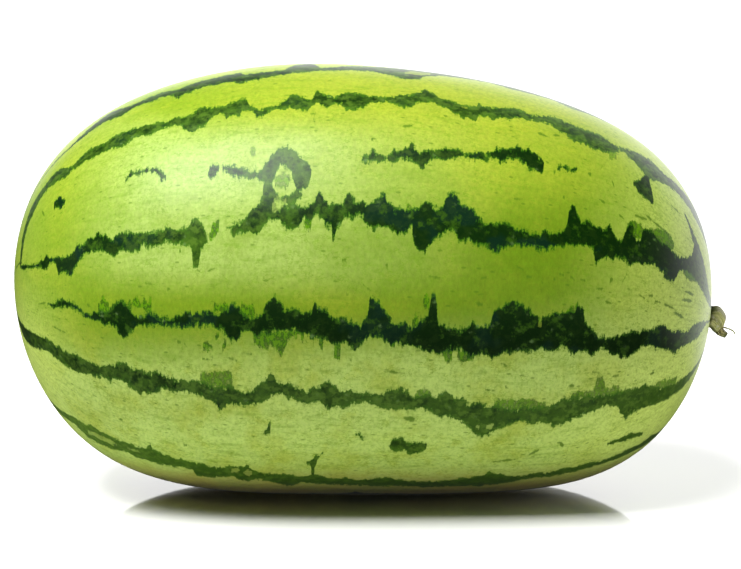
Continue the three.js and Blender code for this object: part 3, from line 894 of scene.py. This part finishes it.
def lay(markings):
    """One layer at each grid point: depth below the upper edge and above the lower one, in mm, and tone."""
    best = np.full(TURN.shape, -np.inf)
    layer = np.zeros(TURN.shape + (3,))
    layer[..., :2] = OUTSIDE
    for marking in markings:
        middle, half, tone = marking.edges_at(ROW_ANGLES)
        off = (TURN - middle[:, None] + math.pi) % ENTIRE - math.pi
        below_upper = (half[:, None] - off) * HALF_GIRTH
        above_lower = (half[:, None] + off) * HALF_GIRTH
        depth = np.minimum(below_upper, above_lower)
        nearer = np.nan_to_num(depth, nan=-np.inf) > best
        best[nearer] = depth[nearer]
        here = np.stack([below_upper, above_lower, np.broadcast_to(tone[:, None], TURN.shape)], axis=-1)
        layer[nearer] = here[nearer]
    layer[..., :2] = np.clip(layer[..., :2], OUTSIDE, INSIDE)
    return layer


def add_vectors(mesh, name, rows, ends):
    """A vector at every point of a closed skin: its rings', then those at its start and end."""
    values = np.concatenate([rows.reshape(-1, 3), np.array(ends, dtype=float)])
    mesh.attributes.new(name, "FLOAT_VECTOR", "POINT").data.foreach_set("vector", values.ravel())


def undulation():
    """Faint furrows and dimples of the rind, in mm outward."""
    furrows = FURROW_DEPTH * np.cos(FURROWS * TURN + FURROW_SWAY * np.sin(2 * FROM_BLOSSOM))
    dimples = sum(high * np.sin(along * FROM_BLOSSOM + around * TURN) for high, along, around in DIMPLES)
    return furrows * np.sin(FROM_BLOSSOM) ** 2 + dimples * np.sin(FROM_BLOSSOM)


def closed_skin(name, rings, first, last, mirrored=False):
    """A closed smooth mesh over rings of points in mm, from a point at its start to one at its end.

    The faces look outward where the rings turn against the clock, seen from the end; mirrored is for
    rings that turn with it.
    """
    rows, sides = rings.shape[:2]
    ring = np.arange(sides)
    after = (ring + 1) % sides
    starts = np.arange(rows - 1)[:, None] * sides
    quads = np.stack([starts + ring, starts + after, starts + sides + after, starts + sides + ring], axis=-1)
    foot, tip, top = rows * sides, rows * sides + 1, (rows - 1) * sides
    faces = quads.reshape(-1, 4).tolist()
    faces += [(foot, int(b), int(a)) for a, b in zip(ring, after)]
    faces += [(tip, top + int(a), top + int(b)) for a, b in zip(ring, after)]
    if mirrored:
        faces = [(face[0], *face[:0:-1]) for face in faces]
    mesh = bpy.data.meshes.new(name)
    verts = np.concatenate([rings.reshape(-1, 3), [first, last]]) * MM
    mesh.from_pydata(verts.tolist(), [], faces)
    mesh.shade_smooth()
    return mesh


def rind_mesh():
    """The fruit's skin with its furrows, cut off flat where it lies on the floor."""
    points = GRID + MIDDLE + unit(GRID) * undulation()[..., None]
    points[..., 2] = np.maximum(points[..., 2], 0)
    first, last = grid_points(np.array([0.0, math.pi]), np.zeros(2)) + MIDDLE
    return closed_skin("rind", points, first, last, mirrored=True)


def add_unwrap(mesh):
    """The rind rolled out flat: along it across the sheet, round it up the sheet, cut open underneath."""
    sides, rows = RIND_SIDES, RIND_ROWS
    low = ((np.arange(sides) + sides // 4) % sides) / sides
    high = low + 1 / sides
    middle = (low + high) / 2
    start = np.repeat(np.arange(1, rows - 1), sides) / rows
    lows, highs = np.tile(low, rows - 2), np.tile(high, rows - 2)
    one = np.ones(sides)
    quads = ((start, lows), (start + 1 / rows, lows), (start + 1 / rows, highs), (start, highs))
    first = ((0 * one, middle), (one / rows, low), (one / rows, high))
    last = ((one, middle), (one - 1 / rows, high), (one - 1 / rows, low))
    flat = [np.stack([np.stack(corner, axis=-1) for corner in face], axis=1) for face in (quads, first, last)]
    sheet = mesh.uv_layers.new(name="OFBake")
    sheet.data.foreach_set("uv", np.concatenate([corners.ravel() for corners in flat]))


class Nodes:
    """The node tree of a material or a world. Most methods add a node and return what comes out of it."""

    def __init__(self, owner, shader="Principled BSDF"):
        owner.use_nodes = True
        self.tree = owner.node_tree
        self.inputs = self.tree.nodes[shader].inputs

    def set(self, **inputs):
        """Sets the shader's own sockets, named with _ for each space."""
        for name, value in inputs.items():
            self.put(self.inputs[name.replace("_", " ")], value)

    def put(self, socket, value):
        if isinstance(value, bpy.types.NodeSocket):
            self.tree.links.new(value, socket)
        elif isinstance(value, tuple) and len(value) == 3 and socket.type == "RGBA":
            socket.default_value = (*value, 1)
        else:
            socket.default_value = value

    def add(self, kind, inputs, **settings):
        node = self.tree.nodes.new("ShaderNode" + kind)
        for name, value in settings.items():
            setattr(node, name, value)
        for name, value in inputs.items():
            self.put(node.inputs[name], value)
        return node

    def attribute(self, name):
        return self.add("Attribute", {}, attribute_name=name).outputs["Vector"]

    def split(self, vector):
        return self.add("SeparateXYZ", {0: vector}).outputs

    def math(self, operation, a, b=0.0, c=0.0):
        return self.add("Math", {0: a, 1: b, 2: c}, operation=operation).outputs[0]

    def product(self, first, *others):
        for other in others:
            first = self.math("MULTIPLY", first, other)
        return first

    def step(self, value, low, high, start=0.0, end=1.0):
        """Rises smoothly from start to end while the value goes from low to high."""
        inputs = {"Value": value, "From Min": low, "From Max": high, "To Min": start, "To Max": end}
        return self.add("MapRange", inputs, interpolation_type="SMOOTHSTEP").outputs[0]

    def over(self, colour, *coats):
        """The colour with coats laid over it in their order, each a share and a colour."""
        for share, coat in coats:
            colour = self.add("Mix", {0: share, 6: colour, 7: coat}, data_type="RGBA").outputs[2]
        return colour

    def shade(self, colour, factor):
        return self.add("VectorMath", {0: colour, "Scale": factor}, operation="SCALE").outputs[0]

    def stretch(self, vector, factors):
        return self.add("VectorMath", {0: vector, 1: factors}, operation="MULTIPLY").outputs[0]

    def noise(self, vector, scale, detail, roughness):
        """Noise with about this many waves to a mm, or as many along each axis as three scales say."""
        if isinstance(scale, tuple):
            vector, scale = self.stretch(vector, scale), 1.0
        inputs = {"Vector": vector, "Scale": scale, "Detail": detail, "Roughness": roughness}
        return self.add("TexNoise", inputs).outputs[0]

    def cells(self, vector, scales):
        """Distance to the nearest of scattered points, and a random number of that point."""
        cell = self.add("TexVoronoi", {"Vector": self.stretch(vector, scales), "Scale": 1.0}).outputs
        return cell[0], self.split(cell[1])[0]

    def swing(self, noise, reach):
        """A noise made into a wobble of about this many mm either way."""
        return self.math("MULTIPLY_ADD", noise, 4 * reach, -2 * reach)

    def depth(self, *names):
        """How deep inside the nearest marking of these layers a point is, in mm, and its tone."""
        depth, tone = None, None
        for name in names:
            x, y, z = self.split(self.attribute(name))
            here = self.math("MINIMUM", x, y)
            if depth is None:
                depth, tone = here, z
                continue
            deeper = self.math("GREATER_THAN", here, depth)
            tone = self.math("MULTIPLY_ADD", deeper, self.math("SUBTRACT", z, tone), tone)
            depth = self.math("MAXIMUM", here, depth)
        return depth, tone


def rind_ground(n, grain, height, fine):
    """The ground's colour: green, with painted shade on the flanks, lighter and yellower above as painted
    light, paler below and at both ends partly as painted light, and a painted highlight on the upper left.
    """
    along = n.split(grain)[0]
    clouds = n.noise(grain, 0.03, 4, 0.6)
    veins = n.noise(grain, (0.05, 0.3, 0.3), 3, 0.6)
    blotches = n.noise(grain, 0.13, 2, 0.5)
    hatched = n.noise(grain, (0.5, 0.3, 0.3), 3, 0.7)
    belly = n.step(n.math("MULTIPLY_ADD", along, -BELLY_RISE, height), *BELLY)
    crown_left = n.product(n.step(height, *CROWN_LEFT), n.step(along, *CROWN_LEFT_ALONG, 0, 0.9))
    flank = n.product(n.step(height, *FLANK_LOW), n.step(height, *FLANK_HIGH))
    darker = n.product(n.step(along, *FLANK_DARKENS, 0.45, 1), n.step(along, *FLANK_ENDS, 0, 0.46))
    stem_end = n.step(n.math("MULTIPLY_ADD", height, -STEM_END_LEAN, along), *STEM_END)
    low_tip = n.product(n.step(along, *LOW_TIP_ALONG), n.step(height, *LOW_TIP, 0.15, 1))
    painted_highlight = [n.step(along, *side) for side in PAINTED_HIGHLIGHT_ALONG] + [n.step(height, *side) for side in PAINTED_HIGHLIGHT_HEIGHT]
    lines = n.noise(grain, (0.17, 0.34, 0.34), 3, 0.6)
    off_line = n.math("ABSOLUTE", n.math("SUBTRACT", lines, 0.5))
    ground = n.over(
        GROUND_SIDE,
        # painted light: the top lighter and yellower
        (n.step(height, *CROWN), GROUND_TOP),
        # paler underside, partly painted bounce light and reflection from the floor
        (belly, GROUND_BELLY),
        # the top's painted light taken off again on the upper left
        (crown_left, GROUND_SIDE),
        (n.step(clouds, 0.42, 0.7, 0, 0.6), GROUND_YELLOW),
        (n.step(blotches, 0.55, 0.75, 0, 0.35), GROUND_YELLOW),
        # painted shade on the flanks
        (n.product(flank, darker), GROUND_PAINTED_SHADE),
        # pale stem end, partly painted light from the right
        (stem_end, GROUND_END),
        # painted light on the low blossom end
        (low_tip, GROUND_END),
        # painted highlight: paler on the upper left, where the key light shines off the rind
        (n.product(*painted_highlight, n.step(clouds, 0.25, 0.6, 0.55, 1)), GROUND_PAINTED_HIGHLIGHT),
        (n.step(veins, 0.5, 0.75, 0, 0.4), GROUND_VEIN),
        (n.step(fine, 0.42, 0.7, 0, 0.38), GROUND_VEIN),
        (n.product(n.step(off_line, 0.028, 0.004, 0, 0.55), n.step(blotches, 0.42, 0.6)), GROUND_VEIN),
    )
    near, chance = n.cells(grain, (0.14, 0.3, 0.3))
    return n.over(
        n.shade(ground, n.math("MULTIPLY_ADD", hatched, -0.6, 1.3)),
        (n.product(n.step(chance, 0.62, 0.7), n.step(near, 0.25, 0.1, 0, 0.6)), STROKE_GREEN),
        (n.product(n.step(height, *FIELD), n.step(clouds, 0.3, 0.6, 0.55, 1)), FIELD_SPOT),
    )


def rind_half_grown(n, ground, grain, rough):
    """The ground with its thin strokes and its patches of half-grown stripe."""
    stroke, _ = n.depth("stroke_0", "stroke_1")
    stroke = n.math("ADD", stroke, n.product(rough, 0.4))
    patch, faint = n.depth("mid_0", "mid_1")
    patch = n.math("ADD", patch, rough)
    clumps = n.noise(grain, (0.6, 0.35, 0.35), 3, 0.7)
    grown = n.product(n.step(patch, -1.0, 0.9, 0, 0.95), n.step(clumps, 0.34, 0.5, 0.65, 1))
    half_grown = n.over(PATCH_DEEP, (n.step(clumps, 0.44, 0.56), PATCH_BRIGHT))
    return n.over(
        ground,
        (n.step(stroke, -0.9, 0.8, 0, 0.85), STROKE_GREEN),
        (n.product(grown, n.step(faint, 0, 1, 1, 0)), half_grown),
    )


def rind_stripe(n, grain, height, marble, ragged, tone):
    """The stripes' own colour: near black to mid green, marbled and flecked, greener at the rim."""
    along = n.split(grain)[0]
    patchy = n.noise(grain, 0.055, 2, 0.5)
    speckle = n.noise(grain, 0.24, 3, 0.6)
    paleness = n.math("ADD", tone, n.math("MULTIPLY_ADD", marble, 2, -1))
    stippled = n.product(n.step(speckle, 0.46, 0.62, 0, 0.7), n.step(tone, 0.1, 0.9, 0.06, 1))
    low = n.product(n.step(along, *FADE_LOW_ALONG, 0, 0.75), n.step(height, *FADE_LOW))
    tips = n.math("MAXIMUM", n.step(along, *FADE_STEM, 0, 0.9), n.step(along, *FADE_BLOSSOM, 0, 0.8))
    fleck, chance = n.cells(grain, (0.26, 0.3, 0.3))
    flecked = n.product(n.step(chance, 0.78, 0.97, 0, 0.5), n.step(marble, 0.45, 0.62))
    return n.over(
        STRIPE_DARK,
        (n.step(patchy, 0.5, 0.62), STRIPE_BLUISH),
        (n.step(marble, 0.52, 0.68, 0, 0.9), STRIPE_MARBLE),
        (n.step(paleness, 0.1, 1.1), STRIPE_PALE),
        (stippled, STRIPE_STIPPLE),
        (n.product(n.math("MAXIMUM", tips, low), n.step(speckle, 0.36, 0.56, 0.35, 1)), STRIPE_END),
        (n.step(ragged, 1.9, -0.2, 0, 0.85), STRIPE_RIM),
        (n.product(flecked, n.step(fleck, 0.5, 0.05)), STRIPE_FLECK),
    )


def rind_material():
    """Ground, half-grown markings, stripes, and at the tips a frayed ring and a corky scar."""
    material = bpy.data.materials.new("rind")
    n = Nodes(material)
    grain = n.attribute("grain")
    from_stem, from_scar, height = n.split(n.attribute("ends"))

    hairs = n.swing(n.noise(grain, (0.55, 0.11, 0.11), 3, 0.7), HAIRS)
    nibbles = n.swing(n.noise(grain, 0.24, 4, 0.7), NIBBLES)
    rough = n.math("ADD", hairs, nibbles)

    fine = n.noise(grain, 0.5, 3, 0.7)
    marble = n.noise(grain, 0.16, 4, 0.65)
    depth, tone = n.depth("dark_0", "dark_1", "dark_2", "dark_3")
    ragged = n.math("ADD", depth, rough)
    gap = n.math("ADD", n.depth("pale")[0], n.product(nibbles, 1.3))
    scar = n.step(n.math("ADD", from_scar, nibbles), *SCAR_REACH)
    striped = n.product(n.step(ragged, -1.25, 0.75), n.step(gap, 0.9, -0.9, 0.45, 1))
    colour = n.over(
        rind_half_grown(n, rind_ground(n, grain, height, fine), grain, rough),
        (striped, rind_stripe(n, grain, height, marble, ragged, tone)),
        (n.step(n.math("ADD", from_stem, n.product(hairs, 3)), *STEM_RING_REACH, 0, 0.8), STEM_RING),
        (scar, SCAR),
    )

    gloss = n.math("MULTIPLY_ADD", scar, 0.35, n.math("MULTIPLY_ADD", fine, 0.1, RIND_ROUGHNESS))
    relief = n.math("ADD", n.product(fine, 0.5), n.product(marble, 0.8))
    bump = n.add("Bump", {"Strength": 0.5, "Distance": RIND_RELIEF, "Height": relief}).outputs[0]
    n.set(Base_Color=colour, Roughness=gloss, Normal=bump)
    n.set(Specular_IOR_Level=RIND_GLOSS, Specular_Tint=WAX_TINT)
    return material


def build_rind():
    """The whole rind, with its markings laid into its mesh."""
    mesh = rind_mesh()
    for name, markings in marking_layers().items():
        add_vectors(mesh, name, lay(markings), [(OUTSIDE, OUTSIDE, 0)] * 2)
    along, over, aside = HALF_LENGTH * FROM_BLOSSOM, HALF_GIRTH * np.cos(TURN), HALF_GIRTH * np.sin(TURN)
    grain = np.stack([along, over, aside], axis=-1)
    add_vectors(mesh, "grain", grain, [(0, 0, 0), (HALF_LENGTH * math.pi, 0, 0)])
    scar, foot = grid_points(np.array([0.0, math.pi]), np.zeros(2))
    from_stem = np.linalg.norm(GRID - foot, axis=-1)
    from_scar = np.linalg.norm(GRID - scar, axis=-1)
    length = np.linalg.norm(foot - scar)
    ends = np.stack([from_stem, from_scar, GRID[..., 2] - FLOOR_Z], axis=-1)
    add_vectors(mesh, "ends", ends, [(length, 0, -FLOOR_Z), (0, length, -FLOOR_Z)])
    add_unwrap(mesh)
    mesh.materials.append(rind_material())
    rind = linked("rind", mesh)
    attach(rind, "root")
    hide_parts("melon")


def smooth_curve(points, shares):
    """Points on a smooth curve through the given ones, at shares of the way along."""
    points = np.array(points, dtype=float)
    held = np.concatenate([[2 * points[0] - points[1]], points, [2 * points[-1] - points[-2]]])
    place = np.clip(np.asarray(shares), 0, 1) * (len(points) - 1)
    piece = np.minimum(place.astype(int), len(points) - 2)
    t = (place - piece)[:, None]
    a, b, c, d = held[piece], held[piece + 1], held[piece + 2], held[piece + 3]
    return b + 0.5 * t * (c - a + t * (2 * a - 5 * b + 4 * c - d + t * (3 * (b - c) + d - a)))


def stalk_frame():
    """The middle of the stalk's foot, in mm, and the ways out of the fruit and up along its end."""
    nudge = 1e-3
    foot, above, below = rind_points(np.ones(3), np.zeros(3), np.array([0, nudge, -nudge]))
    up = unit(above - below)
    return foot + MIDDLE, np.array([up[2], 0, -up[0]]), up


def from_foot(local):
    """Points given as out, side and up from the middle of the stalk's foot, set in their place."""
    foot, out, up = stalk_frame()
    return foot + local[..., :1] * out + local[..., 1:2] * np.array([0, 1, 0]) + local[..., 2:] * up


def stalk_piece(name, rings, first, last, material):
    """A piece of the dried stalk over rings of points about its foot, and its mesh."""
    mesh = closed_skin(name, from_foot(rings), from_foot(first), from_foot(last))
    mesh.materials.append(material)
    piece = linked(name, mesh)
    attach(piece, "root")
    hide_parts("stem")
    return mesh


def dried_swell(share, turn):
    """How far the dried stub stands out or in at a place, as a share of its thickness."""
    ridges = RIDGE_DEPTH * np.cos(RIDGES * turn)
    fibres = sum(high * np.cos(around * turn + twist * share) for high, around, twist in FIBRES)
    folds = FOLD_DEPTH * np.sin(FOLD_TURNS * share + FOLD_SWAY * np.sin(turn))
    folds = folds * np.exp(-(((share - FOLD_MIDDLE) / FOLD_REACH) ** 2))
    collar = COLLAR_SWELL * np.exp(-((share / COLLAR_REACH) ** 2))
    return 1 + ridges + fibres + folds + collar * (1 + COLLAR_WAVE * np.cos(COLLAR_LOBES * turn))


def stalk_rings():
    """The stub's skin, ring by ring: sunk a little into the rind, and hollow at its broken end."""
    shares = np.linspace(0, 1, STALK_RINGS)
    upper = smooth_curve([(out, 0, up) for (out, up), _, _ in STALK], shares)
    lower = smooth_curve([(out, 0, up) for _, (out, up), _ in STALK], shares)
    half_width = smooth_curve([(wide, 0, 0) for _, _, wide in STALK], shares)[:, 0]
    middle, rise = (upper + lower) / 2, (upper - lower) / 2
    share, turn = ring_grid(shares, STALK_SIDES)
    swell = dried_swell(share, turn)[..., None]
    aside = np.array([0, 1, 0]) * half_width[:, None, None] * np.cos(turn)[..., None]
    rings = middle[:, None] + swell * (aside + rise[:, None] * np.sin(turn)[..., None])
    root = rings[:1] - np.array([STALK_SUNK, 0, 0])
    heading = unit(middle[-1] - middle[-2])
    hollow = [middle[-1] + width * (rings[-1] - middle[-1]) - deep * heading for width, deep in BROKEN_END]
    return np.concatenate([root, rings, np.stack(hollow)]), middle, heading


def stalk_material():
    """Dry tissue: tan fibres over olive, dark in the creases of its folds and towards its broken end; lighter
    grey above as painted light, and painted shade below, where its skin dips in, at its foot and in the
    hollow of its broken end.
    """
    material = bpy.data.materials.new("dry_stalk")
    n = Nodes(material)
    share, bulge, inside = n.split(n.attribute("along_swell_hollow"))
    place = n.attribute("fibre")
    up = n.split(place)[2]
    fibres = n.noise(place, (0.25, 1.6, 1.6), 3, 0.65)
    mottle = n.noise(place, 0.55, 3, 0.6)
    fine = n.noise(place, 3.2, 2, 0.6)
    creases = n.noise(place, (1.1, 0.2, 0.2), 2, 0.6)
    folded = n.product(n.step(share, 0.42, 0.6), n.step(share, 0.95, 0.8))
    colour = n.over(
        STALK_OLIVE,
        (n.step(fibres, 0.36, 0.64), STALK_TAN),
        # painted shade where the skin dips in between ridges and folds
        (n.step(bulge, 1.02, 0.94, 0, 0.35), STALK_DARK),
        (n.step(mottle, 0.52, 0.66, 0, 0.6), STALK_GREY),
        # painted light: lighter grey on the top side
        (n.step(up, STALK_REACH / 2, STALK_REACH, 0, 0.6), STALK_GREY),
        (n.product(folded, n.step(mottle, 0.3, 0.6, 0.8, 0.3)), STALK_BROWN),
        (n.product(folded, n.step(creases, 0.42, 0.54, 0, 0.9)), STALK_DARK),
        # painted shade at the foot, by the rind
        (n.step(share, 0.14, 0.03, 0, 0.9), STALK_DARK),
        # painted shade on the underside
        (n.step(up, -STALK_REACH / 2, -STALK_REACH, 0, 0.7), STALK_DARK),
        (n.step(share, 0.86, 0.97, 0, 0.8), STALK_DARK),
        (n.step(fine, 0.55, 0.75, 0, 0.4), STALK_DARK),
        # painted shade in the hollow of the broken end
        (inside, STALK_HOLLOW),
    )
    rough = n.math("MULTIPLY_ADD", fibres, 0.3, 0.6)
    relief = n.math("MULTIPLY_ADD", fine, 0.4, fibres)
    bump = n.add("Bump", {"Strength": 0.6, "Distance": STALK_RELIEF, "Height": relief}).outputs[0]
    n.set(Base_Color=colour, Roughness=rough, Specular_IOR_Level=STALK_GLOSS, Normal=bump)
    return material


def build_stub(material):
    """The dried stub that the fruit hung from."""
    rings, middle, heading = stalk_rings()
    root, pit = middle[0] - [STALK_SUNK, 0, 0], middle[-1] - BROKEN_END[-1][1] * heading
    mesh = stalk_piece("stalk", rings, root, pit, material)
    shares = np.concatenate([[0], np.linspace(0, 1, STALK_RINGS), np.ones(len(BROKEN_END))])
    share, turn = ring_grid(shares, STALK_SIDES)
    inside = np.broadcast_to((np.arange(len(shares)) > STALK_RINGS + 1)[:, None], share.shape)
    along_swell_hollow = np.stack([share, dried_swell(share, turn), inside], axis=-1)
    add_vectors(mesh, "along_swell_hollow", along_swell_hollow, [(0, 1, 0), (1, 1, 1)])
    across, up = STALK_REACH * np.cos(turn), STALK_REACH * np.sin(turn)
    fibre = np.stack([share * STALK_LENGTH, across, up], axis=-1)
    add_vectors(mesh, "fibre", fibre, [(0, 0, 0), (STALK_LENGTH, 0, 0)])


def build_thread(material):
    """The thin dry thread beside the stub, left of a tendril."""
    shares = np.linspace(0, 1, THREAD_RINGS)
    share, turn = ring_grid(shares, THREAD_SIDES)
    line = smooth_curve(THREAD, shares)
    ahead = unit(np.gradient(line, axis=0))
    across = unit(np.cross(ahead, [0, 1, 0]))
    over = np.cross(ahead, across)
    around = across[:, None] * np.cos(turn)[..., None] + over[:, None] * np.sin(turn)[..., None]
    thicker, waves = THREAD_KNOTS
    radius = THREAD_RADIUS * (1 - THREAD_TAPER * shares + thicker * np.sin(waves * shares))
    rings = line[:, None] + radius[:, None, None] * around
    mesh = stalk_piece("stalk_thread", rings, line[0], line[-1], material)
    start, end = THREAD_WEAR
    along_swell_hollow = np.stack([start + (end - start) * share, np.ones_like(share), np.zeros_like(share)], axis=-1)
    add_vectors(mesh, "along_swell_hollow", along_swell_hollow, [(start, 1, 0), (end, 1, 0)])
    fibre = np.stack([share * THREAD_FIBRE, np.cos(turn), np.sin(turn)], axis=-1)
    add_vectors(mesh, "fibre", fibre, [(0, 0, 0), (THREAD_FIBRE, 0, 0)])


def build_camera():
    """The camera at the photo's angle."""
    eye, ahead, _, _ = view_axes()
    data = bpy.data.cameras.new("camera")
    data.sensor_width = SENSOR
    data.lens = PX_PER_MM * CAMERA_DISTANCE * SENSOR / VIEW_WIDTH
    data.clip_end = CLIP_END
    camera = linked("camera", data)
    camera.location = (MIDDLE + eye) * MM
    camera.rotation_mode = "QUATERNION"
    camera.rotation_quaternion = Vector(ahead).to_track_quat("-Z", "Y")
    bpy.context.scene.camera = camera


def build_key():
    """One large soft light overhead, turned towards the fruit."""
    data = bpy.data.lights.new("key", "AREA")
    data.shape = "RECTANGLE"
    data.size, data.size_y = KEY_SIZE
    data.energy = KEY_POWER
    light = linked("key", data)
    light.location = KEY_PLACE
    x, y, z = (Vector(KEY_TARGET) - Vector(KEY_PLACE)).normalized()
    light.rotation_euler = (math.asin(y), math.atan2(-x, -z), 0)


def build_floor():
    """A plain white glossy table, a hair under the fruit."""
    bpy.ops.mesh.primitive_plane_add(size=FLOOR_SIZE, location=FLOOR_PLACE)
    floor = bpy.context.object
    floor.name = "floor"
    floor.visible_glossy = False
    material = bpy.data.materials.new("floor")
    Nodes(material).set(Base_Color=FLOOR_WHITE, Roughness=FLOOR_ROUGHNESS)
    floor.data.materials.append(material)


def build_world():
    """A white world that lights from behind and beside the fruit, white where the camera sees it."""
    world = bpy.data.worlds.new("world")
    bpy.context.scene.world = world
    n = Nodes(world, "Background")
    x, y, z = n.split(n.add("TexCoord", {}).outputs["Generated"])
    aside = n.product(x, n.math("MULTIPLY_ADD", x, GLOW_ASIDE, GLOW_RIGHT))
    behind = n.math("ADD", aside, n.math("MULTIPLY_ADD", z, GLOW_DOWN, y))
    towards = n.product(behind, n.step(n.math("MULTIPLY_ADD", x, GLOW_FLOOR_LEAN, z), *GLOW_FLOOR))
    glow = n.step(towards, *GLOW_REACH, FRONT_GLOW, BACK_GLOW)
    ray = n.add("LightPath", {}).outputs
    low = [n.step(z, *side) for side in HORIZON] + [n.step(y, *HORIZON_FRONT, 0, HORIZON_GLOW)]
    mirrored = n.product(*low, ray["Is Glossy Ray"])
    glow = n.math("MAXIMUM", glow, n.math("MAXIMUM", mirrored, ray["Is Camera Ray"]))
    n.set(Strength=glow, Color=(1, 1, 1))


build_rind()
dry_stalk = stalk_material()
build_stub(dry_stalk)
build_thread(dry_stalk)
build_camera()
build_floor()
build_world()
build_key()
bpy.context.scene.view_settings.view_transform = "Standard"
